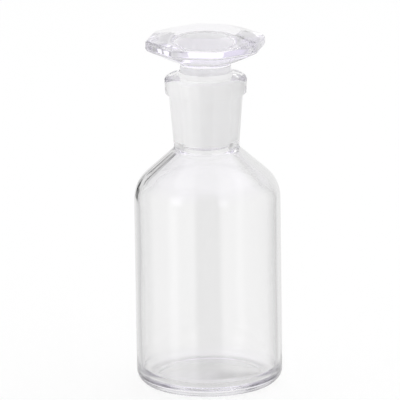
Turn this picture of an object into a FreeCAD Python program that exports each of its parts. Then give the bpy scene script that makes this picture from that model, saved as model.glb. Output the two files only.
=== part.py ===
import FreeCAD, Part
import math
import os

import Sketcher

# Reagent bottle of clear glass with a ground-in stopper.
# The glass stands on the XY plane with its axis on Z, and the origin is the middle of the foot.

doc = FreeCAD.newDocument("reagent_bottle")

# Driving sizes: millimetres, except angles in degrees, the taper as a ratio and the count of sides
driving_sizes = {
    "body_diameter": 52.0,
    "body_wall": 2.0,
    "rim_height": 112.0,
    "heel_round": 5.0,
    "base_thickness": 3.4,
    "foot_width": 2.5,
    "push_up_depth": 1.4,
    "inner_heel_round": 4.5,
    "shoulder_slope": 41.5,
    "shoulder_round": 12.0,
    "shoulder_wall": 2.6,
    "joint_diameter": 18.8,
    "joint_length": 26.0,
    "joint_taper": 0.1,
    "joint_clearance": 0.05,
    "throat_run": 0.7,
    "throat_round": 1.0,
    "neck_root_wall": 3.4,
    "neck_root_round": 2.5,
    "neck_top_wall": 4.05,
    "collar_height": 6.4,
    "collar_step": 1.2,
    "collar_flare": 0.4,
    "collar_round": 0.5,
    "rim_round": 1.2,
    "mouth_round": 0.6,
    "plug_tip_lift": 0.6,
    "plug_tip_round": 1.0,
    "plug_rise": 1.5,
    "stem_waist": 0.4,
    "stem_waist_height": 0.8,
    "stem_height": 5.7,
    "stem_round": 1.8,
    "head_sides": 8,
    "head_turn": 11.0,
    "head_corners": 43.8,
    "under_land": 0.5,
    "under_bevel_height": 4.4,
    "girdle_height": 3.3,
    "top_bevel_height": 2.5,
    "top_bevel_inset": 8.2,
    "head_edge_round": 0.8,
}

# Heights and radii that follow from the driving sizes
worked_places = {
    "body_radius": "Sizes.body_diameter / 2",
    "inner_radius": "body_radius - Sizes.body_wall",
    "foot_inner_radius": "body_radius - Sizes.heel_round - Sizes.foot_width",
    "joint_radius": "Sizes.joint_diameter / 2",
    "joint_slope": "Sizes.joint_taper / 2",
    "joint_end_height": "Sizes.rim_height - Sizes.joint_length",
    "throat_radius": "joint_radius - Sizes.joint_length * joint_slope",
    "shoulder_rise": "tan(Sizes.shoulder_slope)",
    "throat_height": "joint_end_height - Sizes.throat_run",
    "inner_shoulder_height": "throat_height - (inner_radius - throat_radius) * shoulder_rise",
    "inner_shoulder_round": "Sizes.shoulder_round - Sizes.body_wall",
    "shoulder_depth": "Sizes.shoulder_wall / cos(Sizes.shoulder_slope)",
    "neck_root_radius": "throat_radius + Sizes.neck_root_wall",
    "neck_root_height": "throat_height + shoulder_depth - Sizes.neck_root_wall * shoulder_rise",
    "shoulder_height": "neck_root_height - (body_radius - neck_root_radius) * shoulder_rise",
    "collar_foot_height": "Sizes.rim_height - Sizes.collar_height",
    "neck_top_radius": "joint_radius - Sizes.collar_height * joint_slope + Sizes.neck_top_wall",
    "collar_radius": "neck_top_radius + Sizes.collar_step",
    "rim_radius": "collar_radius + Sizes.collar_flare",
    "plug_tip_height": "joint_end_height + Sizes.plug_tip_lift",
    "plug_tip_radius": "throat_radius + Sizes.plug_tip_lift * joint_slope - Sizes.joint_clearance",
    "plug_top_height": "Sizes.rim_height + Sizes.plug_rise",
    "plug_top_radius": "joint_radius + Sizes.plug_rise * joint_slope - Sizes.joint_clearance",
    "stem_foot_height": "plug_top_height + Sizes.stem_waist_height",
    "stem_radius": "plug_top_radius - Sizes.stem_waist",
    "head_flat_radius": "Sizes.head_corners / 2 * cos(180 / Sizes.head_sides)",
    "head_foot_radius": "stem_radius + Sizes.stem_round + Sizes.under_land",
    "under_bevel_inset": "head_flat_radius - head_foot_radius",
    "head_foot_height": "Sizes.rim_height + Sizes.stem_height",
    "girdle_foot_height": "head_foot_height + Sizes.under_bevel_height",
    "girdle_top_height": "girdle_foot_height + Sizes.girdle_height",
}


def fill_sheet(name, cells):
    sheet = doc.addObject("Spreadsheet::Sheet", name)
    for row, (alias, content) in enumerate(cells.items(), start=1):
        sheet.set(f"A{row}", alias)
        sheet.set(f"B{row}", content)
        sheet.setAlias(f"B{row}", alias)
    doc.recompute()
    return sheet


sheets = {
    "Sizes": fill_sheet("Sizes", {alias: str(size) for alias, size in driving_sizes.items()}),
    "Places": fill_sheet("Places", {alias: "=" + rule for alias, rule in worked_places.items()}),
}


def value(cell):
    # Number in a cell such as "Sizes.body_wall", and zero on an axis, which has no cell
    if cell is None:
        return 0.0
    sheet, alias = cell.split(".")
    return float(sheets[sheet].get(alias))


# Sketches: the X axis of an upright sketch is a radius, and its Y axis is a height
radius_axis = -1
height_axis = -2
at_start = 1
at_end = 2
at_centre = 3
root_point = (radius_axis, at_start)
same_place = 1e-4


def new_body(name):
    body = doc.addObject("PartDesign::Body", name)
    body.Label = name
    return body


def new_sketch(body, name, plane):
    sketch = body.newObject("Sketcher::SketchObject", name)
    support = [feature for feature in body.Origin.OriginFeatures if feature.Role == plane]
    sketch.AttachmentSupport = [(support[0], "")]
    sketch.MapMode = "FlatFace"
    return sketch


def bind(sketch, constraint, cell):
    index = sketch.addConstraint(constraint)
    sketch.setExpression(f"Constraints[{index}]", cell)


def place_point(sketch, geometry, end, radius_cell, height_cell):
    if radius_cell is None:
        sketch.addConstraint(Sketcher.Constraint("PointOnObject", geometry, end, height_axis))
    else:
        distance = Sketcher.Constraint("DistanceX", *root_point, geometry, end, value(radius_cell))
        bind(sketch, distance, radius_cell)
    if height_cell is None:
        sketch.addConstraint(Sketcher.Constraint("PointOnObject", geometry, end, radius_axis))
    else:
        distance = Sketcher.Constraint("DistanceY", *root_point, geometry, end, value(height_cell))
        bind(sketch, distance, height_cell)


def corner_arc(before, corner, after, radius):
    # Arc that rounds a corner, with the two points where it leaves the straight sides
    towards = (corner - before).normalize()
    away = (after - corner).normalize()
    setback = radius * math.tan(towards.getAngle(away) / 2)
    first = corner - towards * setback
    last = corner + away * setback
    bisector = (away - towards).normalize()
    centre = corner + bisector * math.hypot(radius, setback)
    middle = centre - bisector * radius
    return Part.Arc(first, middle, last), first, last


def draw_outline(sketch, corners):
    # Closed outline through its corners, each (radius cell, height cell, cell of its rounding or None)
    points = [FreeCAD.Vector(value(across), value(up), 0) for across, up, rounding in corners]
    count = len(corners)
    arcs = {}
    arrivals = list(points)
    departures = list(points)
    for index, (across, up, rounding) in enumerate(corners):
        if rounding:
            before = points[index - 1]
            after = points[(index + 1) % count]
            arc, arrivals[index], departures[index] = corner_arc(
                before, points[index], after, value(rounding))
            arcs[index] = sketch.addGeometry(arc)
    sides = []
    for index in range(count):
        side = Part.LineSegment(departures[index], arrivals[(index + 1) % count])
        sides.append(sketch.addGeometry(side))
    for index, (across, up, rounding) in enumerate(corners):
        into = sides[index - 1]
        out = sides[index]
        if not rounding:
            sketch.addConstraint(Sketcher.Constraint("Coincident", into, at_end, out, at_start))
            place_point(sketch, out, at_start, across, up)
            continue
        arc = arcs[index]
        arrives_at_start = sketch.getPoint(arc, at_start).distanceToPoint(arrivals[index]) < same_place
        first, last = (at_start, at_end) if arrives_at_start else (at_end, at_start)
        sketch.addConstraint(Sketcher.Constraint("Tangent", into, at_end, arc, first))
        sketch.addConstraint(Sketcher.Constraint("Tangent", arc, last, out, at_start))
        bind(sketch, Sketcher.Constraint("Radius", arc, value(rounding)), rounding)
        apex = sketch.addGeometry(Part.Point(points[index]), True)
        sketch.addConstraint(Sketcher.Constraint("PointOnObject", apex, at_start, into))
        sketch.addConstraint(Sketcher.Constraint("PointOnObject", apex, at_start, out))
        place_point(sketch, apex, at_start, across, up)


def draw_cap(sketch, radius_cell, height_cell, foot_cell):
    # Half section of a shallow dome that stands on a flat foot
    radius = value(radius_cell)
    height = value(height_cell)
    foot = value(foot_cell)
    drop = (radius**2 - height**2) / (2 * height)
    sphere_radius = height + drop
    lean = math.asin(radius / sphere_radius) / 2
    edge_point = FreeCAD.Vector(radius, foot, 0)
    top_point = FreeCAD.Vector(0, foot + height, 0)
    foot_point = FreeCAD.Vector(0, foot, 0)
    middle = FreeCAD.Vector(
        sphere_radius * math.sin(lean), foot - drop + sphere_radius * math.cos(lean), 0)
    dome = sketch.addGeometry(Part.Arc(edge_point, middle, top_point))
    axis = sketch.addGeometry(Part.LineSegment(top_point, foot_point))
    floor = sketch.addGeometry(Part.LineSegment(foot_point, edge_point))
    sketch.addConstraint(Sketcher.Constraint("Coincident", dome, at_end, axis, at_start))
    sketch.addConstraint(Sketcher.Constraint("Coincident", axis, at_end, floor, at_start))
    sketch.addConstraint(Sketcher.Constraint("Coincident", floor, at_end, dome, at_start))
    sketch.addConstraint(Sketcher.Constraint("PointOnObject", dome, at_centre, height_axis))
    sketch.addConstraint(Sketcher.Constraint("PointOnObject", axis, at_start, height_axis))
    place_point(sketch, axis, at_end, None, foot_cell)
    sketch.addConstraint(Sketcher.Constraint("Horizontal", floor))
    width = Sketcher.Constraint("DistanceX", floor, at_start, floor, at_end, radius)
    bind(sketch, width, radius_cell)
    rise = Sketcher.Constraint("DistanceY", axis, at_end, axis, at_start, height)
    bind(sketch, rise, height_cell)


def draw_polygon(sketch, sides, diameter_cell):
    # Regular polygon about the origin with its first corner on the X axis
    radius = value(diameter_cell) / 2
    circle = Part.Circle(FreeCAD.Vector(), FreeCAD.Vector(0, 0, 1), radius)
    guide = sketch.addGeometry(circle, True)
    sketch.addConstraint(Sketcher.Constraint("Coincident", guide, at_centre, *root_point))
    bind(sketch, Sketcher.Constraint("Diameter", guide, 2 * radius), diameter_cell)
    turns = [2 * math.pi * index / sides for index in range(sides + 1)]
    corners = [FreeCAD.Vector(radius * math.cos(turn), radius * math.sin(turn), 0) for turn in turns]
    edges = []
    for start, finish in zip(corners, corners[1:]):
        edges.append(sketch.addGeometry(Part.LineSegment(start, finish)))
    for index, edge in enumerate(edges):
        following = edges[(index + 1) % sides]
        sketch.addConstraint(Sketcher.Constraint("Coincident", edge, at_end, following, at_start))
        sketch.addConstraint(Sketcher.Constraint("PointOnObject", edge, at_start, guide))
        if index > 0:
            sketch.addConstraint(Sketcher.Constraint("Equal", edges[0], edge))
    sketch.addConstraint(Sketcher.Constraint("PointOnObject", edges[0], at_start, radius_axis))


def turn_about_axis(body, kind, name, sketch):
    feature = body.newObject(kind, name)
    feature.Profile = sketch
    feature.ReferenceAxis = (sketch, ["V_Axis"])
    feature.Angle = 360
    sketch.Visibility = False
    doc.recompute()
    return feature


def edge_names(feature, wanted):
    # Names of the wanted edges, leaving out the edge without a curve at the tip of a dome
    edges = enumerate(feature.Shape.Edges, start=1)
    return [f"Edge{number}" for number, edge in edges if not edge.Degenerated and wanted(edge)]


def round_edges(body, name, base, wanted, radius_cell):
    fillet = body.newObject("PartDesign::Fillet", name)
    fillet.Base = (base, edge_names(base, wanted))
    fillet.setExpression("Radius", radius_cell)
    doc.recompute()
    return fillet


def is_ring(edge, radius_cell, height_cell):
    # True for a whole horizontal circle of that radius at that height
    curve = edge.Curve
    if not isinstance(curve, Part.Circle):
        return False
    same_radius = abs(curve.Radius - value(radius_cell)) < same_place
    return same_radius and abs(curve.Center.z - value(height_cell)) < same_place


# Bottle: turned outside, hollow inside, raised floor and push-up under the foot, rounded mouth
bottle = new_body("bottle")

outside = new_sketch(bottle, "bottle_outside", "XZ_Plane")
draw_outline(outside, [
    (None, None, None),
    ("Places.body_radius", None, "Sizes.heel_round"),
    ("Places.body_radius", "Places.shoulder_height", "Sizes.shoulder_round"),
    ("Places.neck_root_radius", "Places.neck_root_height", "Sizes.neck_root_round"),
    ("Places.neck_top_radius", "Places.collar_foot_height", "Sizes.collar_round"),
    ("Places.collar_radius", "Places.collar_foot_height", "Sizes.collar_round"),
    ("Places.rim_radius", "Sizes.rim_height", "Sizes.rim_round"),
    (None, "Sizes.rim_height", None),
])
blank = turn_about_axis(bottle, "PartDesign::Revolution", "bottle_blank", outside)

inside = new_sketch(bottle, "bottle_inside", "XZ_Plane")
draw_outline(inside, [
    (None, "Sizes.base_thickness", None),
    ("Places.inner_radius", "Sizes.base_thickness", "Sizes.inner_heel_round"),
    ("Places.inner_radius", "Places.inner_shoulder_height", "Places.inner_shoulder_round"),
    ("Places.throat_radius", "Places.throat_height", "Sizes.throat_round"),
    ("Places.throat_radius", "Places.joint_end_height", None),
    ("Places.joint_radius", "Sizes.rim_height", None),
    (None, "Sizes.rim_height", None),
])
hollow = turn_about_axis(bottle, "PartDesign::Groove", "bottle_hollow", inside)

floor_dome = new_sketch(bottle, "floor_dome", "XZ_Plane")
draw_cap(floor_dome, "Places.foot_inner_radius", "Sizes.push_up_depth", "Sizes.base_thickness")
raised_floor = turn_about_axis(bottle, "PartDesign::Revolution", "raised_floor", floor_dome)

foot_hollow = new_sketch(bottle, "foot_hollow", "XZ_Plane")
draw_cap(foot_hollow, "Places.foot_inner_radius", "Sizes.push_up_depth", None)
push_up = turn_about_axis(bottle, "PartDesign::Groove", "push_up", foot_hollow)

round_edges(
    bottle, "rounded_mouth", push_up,
    lambda edge: is_ring(edge, "Places.joint_radius", "Sizes.rim_height"), "Sizes.mouth_round")

# Stopper: ground plug and stem turned in one, under an eight-sided bevelled head
stopper = new_body("stopper")

plug = new_sketch(stopper, "plug_and_stem", "XZ_Plane")
draw_outline(plug, [
    (None, "Places.plug_tip_height", None),
    ("Places.plug_tip_radius", "Places.plug_tip_height", "Sizes.plug_tip_round"),
    ("Places.plug_top_radius", "Places.plug_top_height", None),
    ("Places.stem_radius", "Places.stem_foot_height", None),
    ("Places.stem_radius", "Places.girdle_foot_height", None),
    (None, "Places.girdle_foot_height", None),
])
turn_about_axis(stopper, "PartDesign::Revolution", "turned_plug", plug)


def pad_head_slice(name, height_cell, length_cell, inset_cell=None, downward=False):
    # Slice of the head that starts at a height, and draws in by an inset where it is bevelled
    sketch = new_sketch(stopper, name + "_outline", "XY_Plane")
    sketch.setExpression("AttachmentOffset.Base.z", height_cell)
    sketch.setExpression("AttachmentOffset.Rotation.Angle", "Sizes.head_turn")
    draw_polygon(sketch, int(value("Sizes.head_sides")), "Sizes.head_corners")
    pad = stopper.newObject("PartDesign::Pad", name)
    pad.Profile = sketch
    pad.Reversed = downward
    pad.setExpression("Length", length_cell)
    if inset_cell:
        pad.setExpression("TaperAngle", f"-atan({inset_cell} / {length_cell})")
    sketch.Visibility = False
    doc.recompute()
    return pad


pad_head_slice("girdle", "Places.girdle_foot_height", "Sizes.girdle_height")
pad_head_slice(
    "under_bevel", "Places.girdle_foot_height", "Sizes.under_bevel_height",
    "Places.under_bevel_inset", downward=True)
top_bevel = pad_head_slice(
    "top_bevel", "Places.girdle_top_height", "Sizes.top_bevel_height", "Sizes.top_bevel_inset")

stem_joint = round_edges(
    stopper, "stem_flare", top_bevel,
    lambda edge: is_ring(edge, "Places.stem_radius", "Places.head_foot_height"), "Sizes.stem_round")


def is_head_edge(edge):
    # True for the straight edges of the head, and false for the seams of the turned plug
    lowest = value("Places.head_foot_height") - same_place
    return isinstance(edge.Curve, Part.Line) and edge.BoundBox.ZMin > lowest


round_edges(stopper, "softened_head", stem_joint, is_head_edge, "Sizes.head_edge_round")

# Check every feature and write each piece of glass to its own file
doc.recompute()
for feature in doc.Objects:
    if {"Invalid", "Error"} & set(feature.State):
        raise RuntimeError(f"{feature.Name} did not build")
for before, after in ((blank, hollow), (raised_floor, push_up)):
    if not after.Shape.Volume < before.Shape.Volume:
        raise RuntimeError(f"{after.Name} took no glass away")
pieces = [bottle, stopper]
for piece in pieces:
    if piece.Shape.isNull() or not piece.Shape.isValid() or len(piece.Shape.Solids) != 1:
        raise RuntimeError(f"{piece.Label} is not one sound solid")

os.makedirs("parts", exist_ok=True)
for piece in pieces:
    piece.Shape.exportStep(f"parts/{piece.Label}.step")
    box = piece.Shape.BoundBox
    print(f"{piece.Label}: {piece.Shape.Volume:.1f} mm3, {box.ZMin:.3f} to {box.ZMax:.3f} mm high")
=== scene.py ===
import math

import bpy
from mathutils import Matrix, Vector


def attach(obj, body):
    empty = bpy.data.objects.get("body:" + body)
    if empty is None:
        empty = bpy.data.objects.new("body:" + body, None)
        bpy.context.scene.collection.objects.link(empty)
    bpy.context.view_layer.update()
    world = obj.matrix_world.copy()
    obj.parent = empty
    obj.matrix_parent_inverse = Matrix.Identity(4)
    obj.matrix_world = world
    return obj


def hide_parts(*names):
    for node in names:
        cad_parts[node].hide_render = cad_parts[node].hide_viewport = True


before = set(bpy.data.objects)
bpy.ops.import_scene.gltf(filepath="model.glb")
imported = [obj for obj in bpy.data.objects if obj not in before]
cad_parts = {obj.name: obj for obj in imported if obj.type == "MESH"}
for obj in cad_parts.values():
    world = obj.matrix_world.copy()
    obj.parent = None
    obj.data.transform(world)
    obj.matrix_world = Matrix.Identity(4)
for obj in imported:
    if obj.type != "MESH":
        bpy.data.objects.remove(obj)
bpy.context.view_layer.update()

# reagent bottle: clear glass with a ground neck, and a faceted stopper ground into it
scene = bpy.context.scene
scene.view_settings.view_transform = "Standard"
mm = 0.001

# light runs a long way inside the walls before it is out again
longPath = 128
scene.cycles.max_bounces = longPath
scene.cycles.transmission_bounces = longPath
scene.cycles.glossy_bounces = longPath
scene.cycles.diffuse_bounces = 32
scene.cycles.blur_glossy = 0.0  # ground glass stays bright


# outlines are half sections in millimetres, as rows of (point, marks)

markNames = ("facet", "ground", "wave")
plain, frosted, faceted, wavy = (0, 0, 0), (0, 1, 0), (1, 0, 0), (0, 0, 1)
softFrom = 6  # wider roundings run in and out softly, as blown glass does
fineSteps = 12  # unit steps added up for each point of a bend


def clamp(value):
    return min(1, max(0, value))


def bendCurve(bend, steps, soft):
    # starts along +X and turns by bend
    here = Vector((0, 0))
    curve = [here.copy()]
    count = steps * fineSteps
    for k in range(count):
        t = (k + 0.5) / count
        heading = bend * (t * t * (3 - 2 * t) if soft else t)
        here += Vector((math.cos(heading), math.sin(heading)))
        if (k + 1) % fineSteps == 0:
            curve.append(here.copy())
    return curve


def tracePath(corners, run, turn):
    # corners are (radius, height, rounding, marks), and marks hold from that corner on
    # no straight step is longer than run, and no step of a bend turns more than turn
    points = []
    for i, (r, z, rounding, marks) in enumerate(corners):
        here = Vector((r, z))
        if rounding <= 0 or i in (0, len(corners) - 1):
            points.append((here, marks))
            continue
        back = (Vector(corners[i - 1][:2]) - here).normalized()
        ahead = (Vector(corners[i + 1][:2]) - here).normalized()
        bend = math.pi - back.angle(ahead)
        spin = 1 if back.x * ahead.y - back.y * ahead.x < 0 else -1
        across = Vector((back.y, -back.x)) * spin
        steps = 2 * max(2, math.ceil(bend / turn / 2))
        curve = bendCurve(bend, steps, rounding > softFrom)
        # scaled so that the middle of the bend is as far from its corner as a plain arc's is
        halfChord = (curve[-1] - curve[0]).length / 2
        bulge = (curve[steps // 2] - curve[-1] / 2).length
        tip = halfChord * math.tan(bend / 2) - bulge
        scale = rounding * (1 / math.cos(bend / 2) - 1) / tip
        start = here + back * scale * halfChord / math.cos(bend / 2)
        placed = [start + (across * p.y - back * p.x) * scale for p in curve]
        points += [(p, corners[i - 1][3]) for p in placed[:-1]]
        points.append((placed[-1], marks))
    rows = []
    for (a, marks), (b, _) in zip(points, points[1:]):
        parts = max(1, math.ceil((b - a).length / run))
        rows += [(a.lerp(b, k / parts), marks) for k in range(parts)]
    rows.append(points[-1])
    return rows


def domePoints(radius, foot, rise, steps):
    # shallow dome from its rim to the axis, by the circle through both
    ball = (radius * radius + rise * rise) / (2 * rise)
    wide = math.asin(radius / ball)
    angles = [wide * (1 - k / steps) for k in range(1, steps + 1)]
    return [(ball * math.sin(a), foot + rise - ball + ball * math.cos(a)) for a in angles]


def outlineMesh(name, rows):
    mesh = bpy.data.meshes.new(name)
    mesh.from_pydata([(p.x * mm, 0, p.y * mm) for p, _ in rows],
                     [(i, i + 1) for i in range(len(rows) - 1)], [])
    for m, markName in enumerate(markNames):
        layer = mesh.attributes.new(markName, "FLOAT", "POINT")
        layer.data.foreach_set("value", [marks[m] for _, marks in rows])
    return mesh


# turning tree: spins an outline about Z, with a faceted part and an uneven blown wall

turningRule = dict(waveStretch=0.16, waveDetail=1.5, weld=1e-7, groundFrom=0.9)
turningInputs = {
    "Outline": "Geometry", "Segments": "Int", "Sides": "Int", "Turn": "Float",
    "Crowding": "Float", "Corner sharpness": "Float", "Unevenness": "Float",
    "Wave scale": "Float", "Seed": "Float", "Clear": "Material", "Ground": "Material"}


def addNode(tree, kind, inputs=None, **settings):
    # inputs gives each socket another node's output or a fixed value
    node = tree.nodes.new(kind)
    for key, value in settings.items():
        setattr(node, key, value)
    for socket, value in (inputs or {}).items():
        if isinstance(value, bpy.types.NodeSocket):
            tree.links.new(value, node.inputs[socket])
        else:
            node.inputs[socket].default_value = value
    return node


def addMath(tree, operation, *values):
    return addNode(tree, "ShaderNodeMath", dict(enumerate(values)), operation=operation).outputs[0]


def makeTurningTree(rule):
    tree = bpy.data.node_groups.new("turnedGlass", "GeometryNodeTree")
    tree.interface.new_socket("Geometry", in_out="OUTPUT", socket_type="NodeSocketGeometry")
    for label, kind in turningInputs.items():
        tree.interface.new_socket(label, in_out="INPUT", socket_type="NodeSocket" + kind)
    into = addNode(tree, "NodeGroupInput").outputs
    outline = into["Outline"]

    def calc(operation, *values):
        return addMath(tree, operation, *values)

    # one grid row for each point of the outline, one column for each step round
    size = addNode(tree, "GeometryNodeAttributeDomainSize", {"Geometry": outline}, component="MESH")
    rowCount = size.outputs["Point Count"]
    grid = addNode(tree, "GeometryNodeMeshGrid", {
        "Vertices X": calc("ADD", into["Segments"], 1), "Vertices Y": rowCount})
    index = addNode(tree, "GeometryNodeInputIndex").outputs[0]
    row = calc("MODULO", index, rowCount)
    column = calc("FLOOR", calc("DIVIDE", calc("ADD", index, 0.5), rowCount))

    def fromOutline(kind, source):
        return addNode(tree, "GeometryNodeSampleIndex", {
            "Geometry": outline, "Value": source, "Index": row},
            data_type=kind, domain="POINT").outputs["Value"]

    def named(label):
        return addNode(tree, "GeometryNodeInputNamedAttribute", {"Name": label},
                       data_type="FLOAT").outputs["Attribute"]

    def mark(label):
        return fromOutline("FLOAT", named(label))

    def onRing(radius, angle, height):
        return addNode(tree, "ShaderNodeCombineXYZ", {
            "X": calc("MULTIPLY", radius, calc("COSINE", angle)),
            "Y": calc("MULTIPLY", radius, calc("SINE", angle)), "Z": height}).outputs[0]

    position = addNode(tree, "GeometryNodeInputPosition").outputs[0]
    place = addNode(tree, "ShaderNodeSeparateXYZ", {0: fromOutline("FLOAT_VECTOR", position)}).outputs
    radius, height = place["X"], place["Z"]

    # columns crowd together at the corners of the faceted part
    u = calc("DIVIDE", column, calc("DIVIDE", into["Segments"], into["Sides"]))
    wobble = calc("SINE", calc("MULTIPLY", u, math.tau))
    shift = calc("MULTIPLY", wobble, calc("DIVIDE", into["Crowding"], math.tau))
    u = calc("SUBTRACT", u, shift)
    side = calc("DIVIDE", math.tau, into["Sides"])
    angle = calc("ADD", into["Turn"], calc("MULTIPLY", u, side))

    # flat sides with softly rounded corners, each point between its side and the next one
    off = calc("ABSOLUTE", calc("WRAP", calc("SUBTRACT", u, 0.5), 0.5, -0.5))
    near = calc("COSINE", calc("MULTIPLY", off, side))
    far = calc("COSINE", calc("MULTIPLY", calc("SUBTRACT", 1, off), side))
    sharp = into["Corner sharpness"]
    both = calc("ADD", calc("POWER", near, sharp), calc("POWER", far, sharp))
    facet = calc("POWER", both, calc("DIVIDE", -1, sharp))
    stretch = calc("ADD", 1, calc("MULTIPLY", mark("facet"), calc("SUBTRACT", facet, 1)))
    radius = calc("MULTIPLY", radius, stretch)

    # blown walls run in long shallow waves down the bottle
    around = onRing(radius, angle, calc("MULTIPLY", height, rule["waveStretch"]))
    noise = addNode(tree, "ShaderNodeTexNoise", {
        "Vector": around, "W": into["Seed"], "Scale": into["Wave scale"],
        "Detail": rule["waveDetail"]}, noise_dimensions="4D")
    lift = calc("MULTIPLY", calc("SUBTRACT", noise.outputs[0], 0.5), into["Unevenness"])
    radius = calc("ADD", radius, calc("MULTIPLY", lift, mark("wave")))

    stored = addNode(tree, "GeometryNodeStoreNamedAttribute", {
        "Geometry": grid.outputs["Mesh"], "Name": "groundFace", "Value": mark("ground")},
        data_type="FLOAT", domain="POINT")
    moved = addNode(tree, "GeometryNodeSetPosition", {
        "Geometry": stored.outputs[0], "Position": onRing(radius, angle, height)})
    closed = addNode(tree, "GeometryNodeMergeByDistance", {
        "Geometry": moved.outputs[0], "Distance": rule["weld"]})
    smooth = addNode(tree, "GeometryNodeSetShadeSmooth", {"Geometry": closed.outputs[0]})
    real = addNode(tree, "GeometryNodeRealizeInstances", {"Geometry": smooth.outputs[0]})
    clear = addNode(tree, "GeometryNodeSetMaterial", {
        "Geometry": real.outputs[0], "Material": into["Clear"]})
    isGround = calc("GREATER_THAN", named("groundFace"), rule["groundFrom"])
    ground = addNode(tree, "GeometryNodeSetMaterial", {
        "Geometry": clear.outputs[0], "Material": into["Ground"], "Selection": isGround})
    addNode(tree, "NodeGroupOutput", {"Geometry": ground.outputs[0]})
    return tree


turningTree = makeTurningTree(turningRule)
print("turning tree made:", len(turningTree.nodes), "nodes")


def turnPiece(name, rows, settings):
    # spins the outline and keeps the result as a plain mesh
    blank = bpy.data.objects.new(name + "Blank", outlineMesh(name + "Outline", rows))
    scene.collection.objects.link(blank)
    turned = blank.modifiers.new("turned", "NODES")
    turned.node_group = turningTree
    for item in turningTree.interface.items_tree:
        if item.in_out == "INPUT" and item.name in settings:
            turned[item.identifier] = settings[item.name]
    graph = bpy.context.evaluated_depsgraph_get()
    mesh = bpy.data.meshes.new_from_object(blank.evaluated_get(graph))
    blank.modifiers.remove(turned)
    bpy.data.objects.remove(blank)
    mesh.name = name
    piece = bpy.data.objects.new(name, mesh)
    scene.collection.objects.link(piece)
    return piece


# glass finishes: each grain is a stretch, a scale and a detail of noise

clearGrain = dict(
    cloud=((1, 1, 0.35), 60, 2),
    film=((1, 1, 0.5), 160, 4), filmFrom=0.45, filmTo=0.8,
    ripple=((1, 1, 0.2), 110, 1), rippleDepth=0.4 * mm)
groundGlass = dict(
    tint=(0.992, 0.992, 0.990), shade=(0.965, 0.965, 0.965), ior=1.5, density=2.5,
    body=(0.62, 0.60, 0.66), polish=0.3, haze=0.42, through=0.15,
    cloud=((1, 1, 1), 220, 3),
    grit=((1, 1, 1), 3200, 2), gritBump=0.25,
    rings=((0.08, 0.08, 1), 2600, 2), ringBump=0.2, bumpDepth=0.1 * mm)


def startMaterial(name, look):
    material = bpy.data.materials.new(name)
    material.use_nodes = True
    tree = material.node_tree
    shader = tree.nodes["Principled BSDF"]
    shader.inputs["Transmission Weight"].default_value = look["through"]
    shader.inputs["IOR"].default_value = look["ior"]
    depth = addNode(tree, "ShaderNodeVolumeAbsorption", {
        "Color": (*look["body"], 1), "Density": look["density"]})
    tree.links.new(depth.outputs[0], tree.nodes["Material Output"].inputs["Volume"])
    place = addNode(tree, "ShaderNodeTexCoord").outputs["Object"]
    return material, tree, shader, place


def spreadNoise(tree, place, stretch, scale, detail):
    scaled = addNode(tree, "ShaderNodeMapping", {"Vector": place, "Scale": stretch})
    return addNode(tree, "ShaderNodeTexNoise", {
        "Vector": scaled.outputs[0], "Scale": scale, "Detail": detail}).outputs[0]


def spreadRange(tree, source, low, high, start=0.3, end=0.7):
    values = dict(enumerate((source, start, end, low, high)))
    return addNode(tree, "ShaderNodeMapRange", values).outputs[0]


def spreadColor(tree, source, low, high):
    # 6, 7 and 2 are the colour sockets of the mix
    return addNode(tree, "ShaderNodeMix", {
        "Factor": source, 6: (*low, 1), 7: (*high, 1)}, data_type="RGBA").outputs[2]


def addBump(tree, shader, source, strength, distance, under=None):
    inputs = {"Height": source, "Strength": strength, "Distance": distance}
    if under:
        inputs["Normal"] = under
    bump = addNode(tree, "ShaderNodeBump", inputs).outputs[0]
    tree.links.new(bump, shader.inputs["Normal"])
    return bump


def makeClearGlass(name, look):
    material, tree, shader, place = startMaterial(name, look)
    cloud = spreadNoise(tree, place, *clearGrain["cloud"])
    color = spreadColor(tree, cloud, look["shade"], look["tint"])
    tree.links.new(color, shader.inputs["Base Color"])
    film = spreadNoise(tree, place, *clearGrain["film"])
    gloss = spreadRange(tree, film, look["polish"], look["haze"],
                        clearGrain["filmFrom"], clearGrain["filmTo"])
    tree.links.new(gloss, shader.inputs["Roughness"])
    ripple = spreadNoise(tree, place, *clearGrain["ripple"])
    addBump(tree, shader, ripple, look["ripple"], clearGrain["rippleDepth"])
    return material


def makeGroundGlass(name, look):
    material, tree, shader, place = startMaterial(name, look)
    cloud = spreadNoise(tree, place, *look["cloud"])
    color = spreadColor(tree, cloud, look["shade"], look["tint"])
    tree.links.new(color, shader.inputs["Base Color"])
    gloss = spreadRange(tree, cloud, look["polish"], look["haze"])
    tree.links.new(gloss, shader.inputs["Roughness"])
    grit = spreadNoise(tree, place, *look["grit"])
    rings = spreadNoise(tree, place, *look["rings"])
    fine = addBump(tree, shader, grit, look["gritBump"], look["bumpDepth"])
    addBump(tree, shader, rings, look["ringBump"], look["bumpDepth"], fine)
    return material


# bottle: from the middle of the foot up the outside, over the rim and down the inside

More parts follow.
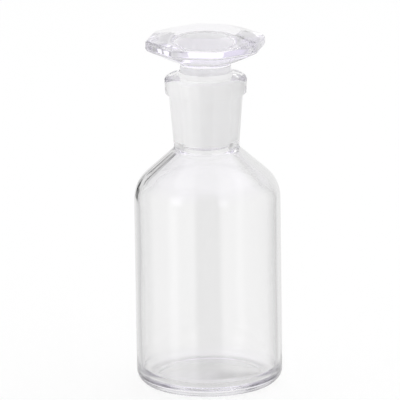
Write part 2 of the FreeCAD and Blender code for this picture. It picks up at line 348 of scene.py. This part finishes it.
bottleValues = dict(
    bodyRadius=25.98, wall=2.0, heelRound=5.0, foot=18.5, footRound=3.0, pushUp=1.4,
    base=3.4, innerHeelRound=4.5, shoulder=72.935, shoulderRound=12.0,
    innerShoulder=71.23, innerShoulderRound=10.0,
    neckRoot=(11.5, 85.76), neckRootRound=2.5, neckTop=13.13,
    collarFoot=105.6, collar=14.33, collarRound=0.5,
    rim=14.73, rimHeight=112.0, rimRound=1.8, mouth=9.4, mouthRound=0.6,
    boreEnd=(8.1, 86.0), throat=85.3, throatRound=1.0,
    run=2.4, turn=5, domeSteps=24, waveFade=16,
    turning={"Segments": 224, "Sides": 8, "Turn": 0.0, "Crowding": 0.0,
             "Corner sharpness": 120.0, "Unevenness": 0.22 * mm, "Wave scale": 95.0, "Seed": 4.0},
    glass=dict(tint=(0.966, 0.965, 0.965), shade=(0.946, 0.945, 0.946), ior=1.5, density=2.5,
               body=(0.62, 0.60, 0.66), polish=0.004, haze=0.02, through=1.0, ripple=0.05))


def makeBottle(s):
    under = domePoints(s["foot"], 0, s["pushUp"], s["domeSteps"])[::-1]
    floor = domePoints(s["foot"], s["base"], s["pushUp"], s["domeSteps"])
    inside = s["bodyRadius"] - s["wall"]
    corners = [(r, z, 0, plain) for r, z in under]
    corners += [
        (s["foot"], 0, s["footRound"], plain),
        (s["bodyRadius"], 0, s["heelRound"], plain),
        (s["bodyRadius"], s["shoulder"], s["shoulderRound"], plain),
        (*s["neckRoot"], s["neckRootRound"], plain),
        (s["neckTop"], s["collarFoot"], s["collarRound"], plain),
        (s["collar"], s["collarFoot"], s["collarRound"], plain),
        (s["rim"], s["rimHeight"], s["rimRound"], plain),
        (s["mouth"], s["rimHeight"], s["mouthRound"], frosted),
        (*s["boreEnd"], 0, plain),
        (s["boreEnd"][0], s["throat"], s["throatRound"], plain),
        (inside, s["innerShoulder"], s["innerShoulderRound"], wavy),
        (inside, s["base"], s["innerHeelRound"], plain),
        (s["foot"], s["base"], s["footRound"], plain)]
    corners += [(r, z, 0, plain) for r, z in floor]
    # the waves die away towards the heel and the shoulder
    lowEnd = s["base"] + s["innerHeelRound"]
    highEnd = s["innerShoulder"] - s["innerShoulderRound"] / 2
    rows = []
    for p, (facet, ground, wave) in tracePath(corners, s["run"], math.radians(s["turn"])):
        reach = min(p.y - lowEnd, highEnd - p.y)
        rows.append((p, (facet, ground, wave * clamp(reach / s["waveFade"]))))
    return turnPiece("glassBottle", rows, dict(
        s["turning"], Clear=makeClearGlass("bottleClear", s["glass"]),
        Ground=makeGroundGlass("bottleGround", groundGlass)))


bottle = makeBottle(bottleValues)
print("bottle turned:", len(bottle.data.polygons), "faces")

# stopper: ground plug, stem and a bevelled head with eight sides

stopperValues = dict(
    tip=(8.08, 86.6), tipRound=1.0, plugTop=(9.425, 113.5), plugTopRound=0.25,
    stem=9.025, stemFoot=114.3, stemFootRound=0.8, headFoot=117.7, flare=1.8,
    land=11.325, girdle=20.23, girdleFoot=122.1, girdleTop=125.4,
    table=12.03, top=127.89, edge=1.5,
    run=1.6, turn=6, slack=0.01, blendBelow=2,
    turning={"Segments": 256, "Sides": 8, "Turn": math.radians(11), "Crowding": 0.6,
             "Corner sharpness": 36.0, "Unevenness": 0.0, "Wave scale": 90.0, "Seed": 2.0},
    glass=dict(tint=(0.992, 0.988, 0.996), shade=(0.978, 0.972, 0.988), ior=1.5, density=1.2,
               body=(0.62, 0.56, 0.72), polish=0.004, haze=0.02, through=1.0, ripple=0.03))


def headMarks(s, p, marks):
    # under the head, the flare of the stem goes over into the facets
    if p.y <= s["headFoot"] - s["slack"]:
        return marks
    if p.y >= s["girdleFoot"] - s["blendBelow"]:
        return faceted
    flareEnd = s["stem"] + s["flare"]
    return (clamp((p.x - flareEnd) / (s["land"] - flareEnd)), 0, 0)


def makeStopper(s):
    corners = [
        (0, s["tip"][1], 0, plain),
        (*s["tip"], s["tipRound"], frosted),
        (*s["plugTop"], s["plugTopRound"], plain),
        (s["stem"], s["stemFoot"], s["stemFootRound"], plain),
        (s["stem"], s["headFoot"], s["flare"], plain),
        (s["land"], s["headFoot"], s["edge"], faceted),
        (s["girdle"], s["girdleFoot"], s["edge"], faceted),
        (s["girdle"], s["girdleTop"], s["edge"], faceted),
        (s["table"], s["top"], s["edge"], faceted),
        (0, s["top"], 0, faceted)]
    rows = [(p, headMarks(s, p, marks))
            for p, marks in tracePath(corners, s["run"], math.radians(s["turn"]))]
    return turnPiece("glassStopper", rows, dict(
        s["turning"], Clear=makeClearGlass("stopperClear", s["glass"]),
        Ground=makeGroundGlass("stopperGround", groundGlass)))


stopper = makeStopper(stopperValues)
print("stopper turned:", len(stopper.data.polygons), "faces")

for piece, body, slotName in ((bottle, "bottle", "bottle_glass"), (stopper, "stopper", "stopper_glass")):
    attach(piece, body)
    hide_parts(body)

# camera: long lens, a little above the rim, leaning as the photo does

cameraValues = dict(
    elevation=14.3, lean=0.0143, distance=2.0, sensor=36,
    pixelsPerMm=2.815, picture=400, baseAt=(209.95, 381.15), pivot=0.064)


def makeCamera(c):
    e = math.radians(c["elevation"])
    forward = Vector((0, math.cos(e), -math.sin(e)))
    lean = Matrix.Rotation(c["lean"], 3, forward)
    up = lean @ Vector((0, math.sin(e), math.cos(e)))
    right = lean @ Vector((1, 0, 0))
    data = bpy.data.cameras.new("camera")
    data.sensor_width = c["sensor"]
    data.lens = c["sensor"] * c["distance"] * c["pixelsPerMm"] / (c["picture"] * mm)
    # the foot stands at its own place in the picture
    aside, below = [(at - c["picture"] / 2) / c["pixelsPerMm"] * mm for at in c["baseAt"]]
    aim = up * below - right * aside
    aim += forward * (Vector((0, 0, c["pivot"])) - aim).dot(forward)
    facing = Matrix((right, up, -forward)).transposed().to_quaternion()
    camera = bpy.data.objects.new("camera", data)
    camera.matrix_world = Matrix.LocRotScale(aim - forward * c["distance"], facing, None)
    scene.collection.objects.link(camera)
    scene.camera = camera


makeCamera(cameraValues)
print("camera placed")

# floor and studio: the glass shows white behind it, and mirrors a darker room

floorValues = dict(radius=3.0, corners=96, drop=0.05 * mm, solid=0.12, fadeEnd=0.95,
                   color=0.9, glow=0.7, glowThrough=0.05)
roomValues = dict(ambient=0.95, room=0.84, background=1.0, spread=0.84, key=0.42, keyAt=-128,
                  tint=(0.97, 0.87, 1.2), tintFrom=15, tintTo=65)
# azimuth from +Y towards +X, elevation, half width, half height, soft edge in degrees, level
roomPatches = [
    (0, -90, 400, 62, 12, 0.72),  # ground all round
    (179, 0, 21, 60, 8, 0.2),  # dark side of the camera
    (-122, 0, 8, 60, 5, 1.3),  # tall window on the left
    (-124, 26, 10, 10, 8, 2.4),  # and its lamp, for the shoulder
    (152, 26, 8, 9, 8, 1.7),  # smaller lamp on the right
    (-50, 0, 26, 36, 16, 0.66),  # grey walls behind
    (52, 0, 14, 30, 10, 0.52),
    (0, 90, 400, 26, 20, 0.7),  # ceiling
    (-23, 0, 8, 6, 2, 0.0),  # black flags behind on the left
    (-27, 14.6, 4, 0.9, 0.6, 0.0),
    (-31, 19, 5, 1.3, 0.8, 0.0),
    (8, 27, 6, 7, 4, 0.15),  # dark flags higher up
    (46, 36, 14, 7, 6, 0.15),
]
spreadWeight = 99  # one spread outweighs any count of mirrorings


def mirroredRay(tree, path):
    # light that was mirrored in the glass on its way, and not spread by a ground face
    spread = addMath(tree, "MULTIPLY", path["Diffuse Depth"], spreadWeight)
    return addMath(tree, "GREATER_THAN", addMath(tree, "SUBTRACT", path["Glossy Depth"], spread), 0.5)


def makeFloor(f):
    steps = [math.tau * i / f["corners"] for i in range(f["corners"])]
    mesh = bpy.data.meshes.new("floor")
    mesh.from_pydata([(f["radius"] * math.cos(a), f["radius"] * math.sin(a), -f["drop"]) for a in steps],
                     [], [list(range(f["corners"]))])
    material = bpy.data.materials.new("paleFloor")
    material.use_nodes = True
    tree = material.node_tree
    tree.nodes.clear()
    path = addNode(tree, "ShaderNodeLightPath").outputs
    through = addMath(tree, "MAXIMUM", path["Is Glossy Ray"], path["Is Transmission Ray"])
    glowShare = addMath(tree, "MULTIPLY_ADD", path["Is Camera Ray"], f["glow"],
                        addMath(tree, "MULTIPLY", through, f["glowThrough"]))
    matt = addNode(tree, "ShaderNodeBsdfDiffuse", {"Color": (f["color"], f["color"], f["color"], 1)})
    glow = addNode(tree, "ShaderNodeEmission", {"Color": (1, 1, 1, 1)})
    pale = addNode(tree, "ShaderNodeMixShader", {0: glowShare, 1: matt.outputs[0], 2: glow.outputs[0]})
    # it fades into the white far out, and mirrored light goes through it to the room
    place = addNode(tree, "ShaderNodeTexCoord").outputs["Object"]
    reach = addNode(tree, "ShaderNodeVectorMath", {0: place}, operation="LENGTH").outputs["Value"]
    farOut = spreadRange(tree, reach, 0, 1, f["solid"], f["radius"] * f["fadeEnd"])
    fade = addMath(tree, "MAXIMUM", mirroredRay(tree, path), farOut)
    gone = addNode(tree, "ShaderNodeBsdfTransparent")
    mix = addNode(tree, "ShaderNodeMixShader", {0: fade, 1: pale.outputs[0], 2: gone.outputs[0]})
    addNode(tree, "ShaderNodeOutputMaterial", {"Surface": mix.outputs[0]})
    mesh.materials.append(material)
    floor = bpy.data.objects.new("floor", mesh)
    scene.collection.objects.link(floor)


def makeRoom(r, patches):
    world = bpy.data.worlds.new("studio")
    scene.world = world
    world.use_nodes = True
    tree = world.node_tree
    tree.nodes.clear()

    def calc(operation, *values):
        return addMath(tree, operation, *values)

    def blend(share, low, high):
        return calc("MULTIPLY_ADD", share, calc("SUBTRACT", high, low), low)

    def inside(distance, half, soft):
        return spreadRange(tree, distance, 1, 0, half - soft / 2, half + soft / 2)

    place = addNode(tree, "ShaderNodeTexCoord").outputs["Generated"]
    toward = addNode(tree, "ShaderNodeSeparateXYZ", {0: place}).outputs
    azimuth = calc("DEGREES", calc("ARCTAN2", toward["X"], toward["Y"]))
    elevation = calc("DEGREES", calc("ARCSINE", toward["Z"]))
    level = r["room"]
    for az, el, wide, high, soft, brightness in patches:
        aside = calc("ABSOLUTE", calc("WRAP", calc("SUBTRACT", azimuth, az), 180, -180))
        above = calc("ABSOLUTE", calc("SUBTRACT", elevation, el))
        patch = calc("MULTIPLY", inside(aside, wide, soft), inside(above, high, soft))
        level = blend(patch, level, brightness)
    path = addNode(tree, "ShaderNodeLightPath").outputs
    bounced = mirroredRay(tree, path)
    straight = calc("MULTIPLY", path["Is Transmission Ray"], calc("SUBTRACT", 1, bounced))
    seen = calc("MAXIMUM", path["Is Camera Ray"], straight)
    glass = calc("MAXIMUM", path["Is Glossy Ray"], path["Is Transmission Ray"])
    mirrored = blend(glass, r["ambient"], level)
    # light that a matt face spreads through the glass comes more from one side
    keyAt = math.radians(r["keyAt"])
    spread = calc("MULTIPLY_ADD", toward["Y"], r["key"] * math.cos(keyAt), r["spread"])
    spread = calc("MULTIPLY_ADD", toward["X"], r["key"] * math.sin(keyAt), spread)
    behind = blend(calc("GREATER_THAN", path["Diffuse Depth"], 0.5), r["background"], spread)
    shown = blend(seen, mirrored, behind)
    # what the glass mirrors from above is a little violet
    overhead = calc("MULTIPLY", calc("MULTIPLY", glass, bounced),
                    spreadRange(tree, elevation, 0, 1, r["tintFrom"], r["tintTo"]))
    back = addNode(tree, "ShaderNodeBackground", {
        "Color": spreadColor(tree, overhead, (1, 1, 1), r["tint"]), "Strength": shown})
    addNode(tree, "ShaderNodeOutputWorld", {"Surface": back.outputs[0]})


makeFloor(floorValues)
makeRoom(roomValues, roomPatches)

# one wide soft lamp overhead

softboxValues = dict(azimuth=20, elevation=72, distance=0.9, width=1.3, height=1.3, power=2.3, aim=0.06)


def makeSoftbox(b):
    a, e = math.radians(b["azimuth"]), math.radians(b["elevation"])
    data = bpy.data.lights.new("boxOver", "AREA")
    data.shape, data.size, data.size_y = "RECTANGLE", b["width"], b["height"]
    data.energy = b["power"]
    away = Vector((math.sin(a) * math.cos(e), math.cos(a) * math.cos(e), math.sin(e)))
    lamp = bpy.data.objects.new("boxOver", data)
    lamp.location = Vector((0, 0, b["aim"])) + away * b["distance"]
    lamp.rotation_euler = away.to_track_quat("Z", "Y").to_euler()
    scene.collection.objects.link(lamp)


makeSoftbox(softboxValues)
print("studio set")
